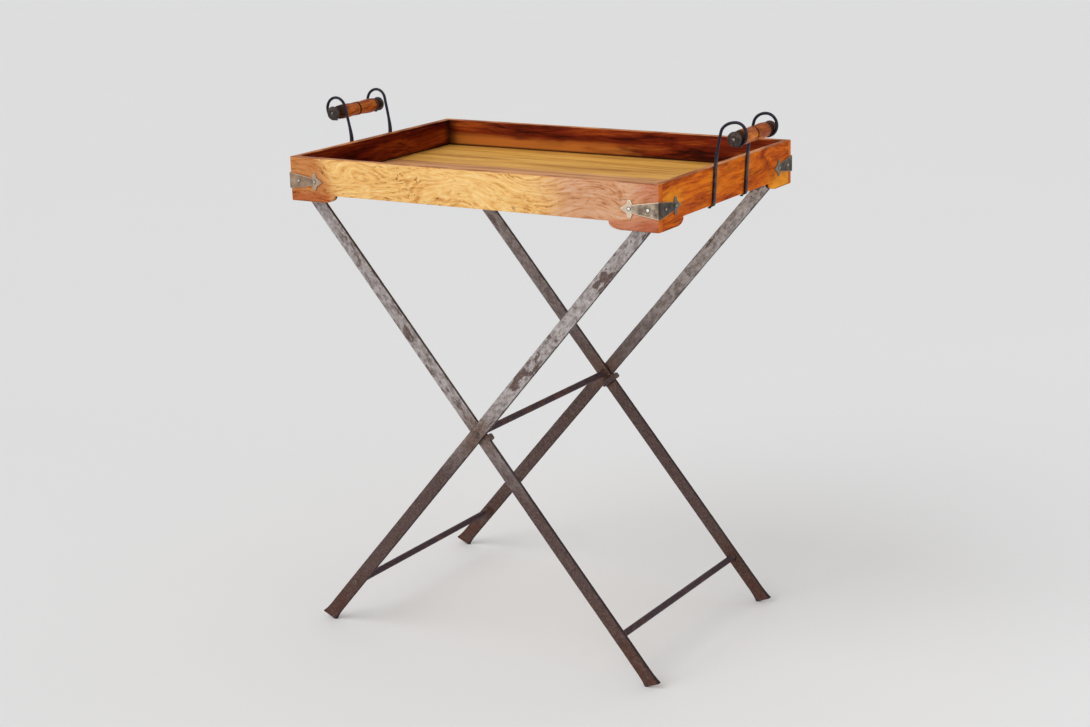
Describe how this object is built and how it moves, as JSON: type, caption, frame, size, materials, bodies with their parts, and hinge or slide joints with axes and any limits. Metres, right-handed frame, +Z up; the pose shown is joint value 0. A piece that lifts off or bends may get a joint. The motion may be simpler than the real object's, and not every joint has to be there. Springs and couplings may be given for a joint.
{
  "type": "folding tray table",
  "caption": "Rectangular wooden tray with bracket feet, metal corner straps and looped iron handles with turned grips, on a folding iron cross-leg stand.",
  "frame": {"origin": "on the floor under the middle of the table", "axes": "+X along the tray's length, +Y towards its back long board, +Z up"},
  "size_m": [0.7184, 0.422, 0.8038],
  "materials": {
    "golden_wood": "satin lacquer over burled golden hardwood",
    "red_wood": "satin lacquer over red-brown hardwood",
    "ochre_wood": "thin satin finish on ochre planks",
    "pink_wood": "thin satin finish on a pinkish-brown plank",
    "turned_wood": "polished turned wood",
    "burnt_wood": "dark burnt turned ends",
    "aged_bronze": "aged sheet with polished edges",
    "bright_nail": "bright domed heads",
    "forged_iron": "blackened forged iron",
    "worn_iron": "bare flat bar, silvery above and rusted below",
    "rusty_iron": "dark rusted bar"
  },
  "bodies": {
    "outer_frame": {"outer_leg_front": "worn_iron", "outer_leg_back": "worn_iron", "low_bar_outer": "rusty_iron"},
    "inner_frame": {"inner_leg_front": "worn_iron", "inner_leg_back": "worn_iron", "low_bar_inner": "rusty_iron", "pivot_bar": "rusty_iron", "stop_front": "rusty_iron", "stop_back": "rusty_iron"},
    "tray": {"front_board": "golden_wood", "back_board": "golden_wood", "right_board": "red_wood", "left_board": "red_wood", "floor_plank_1": "ochre_wood", "floor_plank_2": "ochre_wood", "floor_plank_3": "pink_wood", "floor_plank_4": "ochre_wood", "floor_plank_5": "ochre_wood", "corner_strap_front_right": "aged_bronze", "corner_strap_back_right": "aged_bronze", "corner_strap_back_left": "aged_bronze", "corner_strap_front_left": "aged_bronze", "strap_nail_front_right_1a": "bright_nail", "strap_nail_front_right_1b": "bright_nail", "strap_nail_front_right_2a": "bright_nail", "strap_nail_front_right_2b": "bright_nail", "strap_nail_back_right_1a": "bright_nail", "strap_nail_back_right_1b": "bright_nail", "strap_nail_back_right_2a": "bright_nail", "strap_nail_back_right_2b": "bright_nail", "strap_nail_back_left_1a": "bright_nail", "strap_nail_back_left_1b": "bright_nail", "strap_nail_back_left_2a": "bright_nail", "strap_nail_back_left_2b": "bright_nail", "strap_nail_front_left_1a": "bright_nail", "strap_nail_front_left_1b": "bright_nail", "strap_nail_front_left_2a": "bright_nail", "strap_nail_front_left_2b": "bright_nail", "handle_strap_right_front": "forged_iron", "handle_strap_right_back": "forged_iron", "handle_strap_left_front": "forged_iron", "handle_strap_left_back": "forged_iron", "strap_screw_right_front": "forged_iron", "strap_screw_right_back": "forged_iron", "strap_screw_left_front": "forged_iron", "strap_screw_left_back": "forged_iron"},
    "grip_right": {"grip_right": "turned_wood", "grip_cap_right_front": "burnt_wood", "grip_cap_right_back": "burnt_wood", "cap_nail_right_front": "bright_nail", "cap_nail_right_back": "bright_nail"},
    "grip_left": {"grip_left": "turned_wood", "grip_cap_left_front": "burnt_wood", "grip_cap_left_back": "burnt_wood", "cap_nail_left_front": "bright_nail", "cap_nail_left_back": "bright_nail"}
  },
  "joints": [
    {"name": "fold", "type": "hinge", "parent": "outer_frame", "child": "inner_frame", "pos_m": [-0.0065, 0, 0.343], "axis": [0, 1, 0], "range_deg": [0, 77.5]},
    {"name": "tray_lift", "type": "slide", "parent": "outer_frame", "child": "tray", "axis": [0, 0, 1], "range_m": [0, 0.44]},
    {"name": "grip_spin_right", "type": "hinge", "parent": "tray", "child": "grip_right", "pos_m": [0.343, 0.0071, 0.7758], "axis": [0, 1, 0], "continuous": true},
    {"name": "grip_spin_left", "type": "hinge", "parent": "tray", "child": "grip_left", "pos_m": [-0.3405, 0.0009, 0.7783], "axis": [0, 1, 0], "continuous": true}
  ],
  "couplings": [
    {"joint": "tray_lift", "follows": "fold", "m_per_rad": 0.32}
  ]
}
